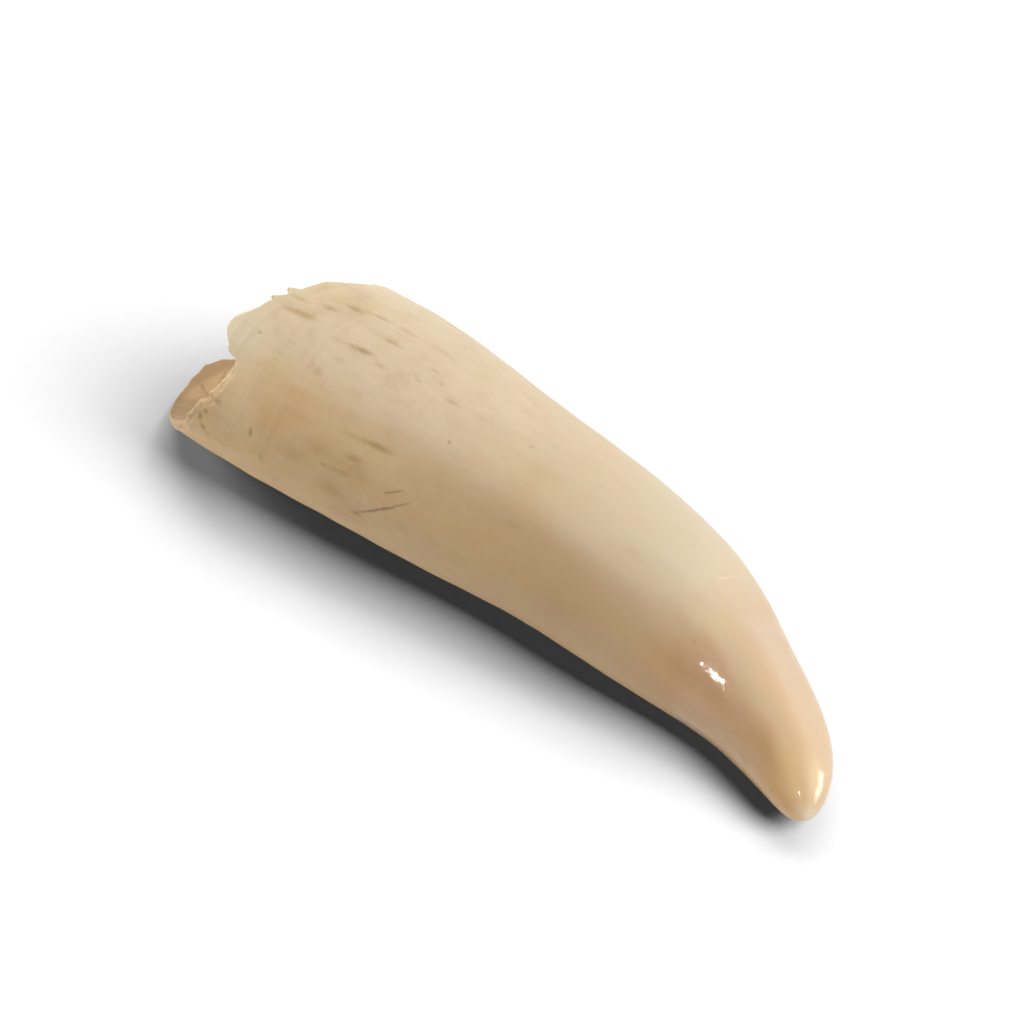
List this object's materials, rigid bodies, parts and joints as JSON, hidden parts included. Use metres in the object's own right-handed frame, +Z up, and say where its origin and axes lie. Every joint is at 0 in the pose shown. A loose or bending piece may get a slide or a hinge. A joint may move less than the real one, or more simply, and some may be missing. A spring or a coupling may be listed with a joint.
{
  "type": "sperm whale tooth",
  "caption": "Curved conical whale tooth lying on its side, with a ragged hollow root and a smooth, rounded, worn tip.",
  "frame": {"origin": "middle of the bounding box's underside, on the surface that the tooth lies on", "axes": "+X from the root to the tip along the tooth's chord, +Y towards the outside of its curve, +Z up"},
  "size_m": [0.1712, 0.0612, 0.0432],
  "materials": {
    "ivory": "satin, polished at the tip"
  },
  "bodies": {
    "root": {"tooth": "ivory"}
  },
  "joints": []
}
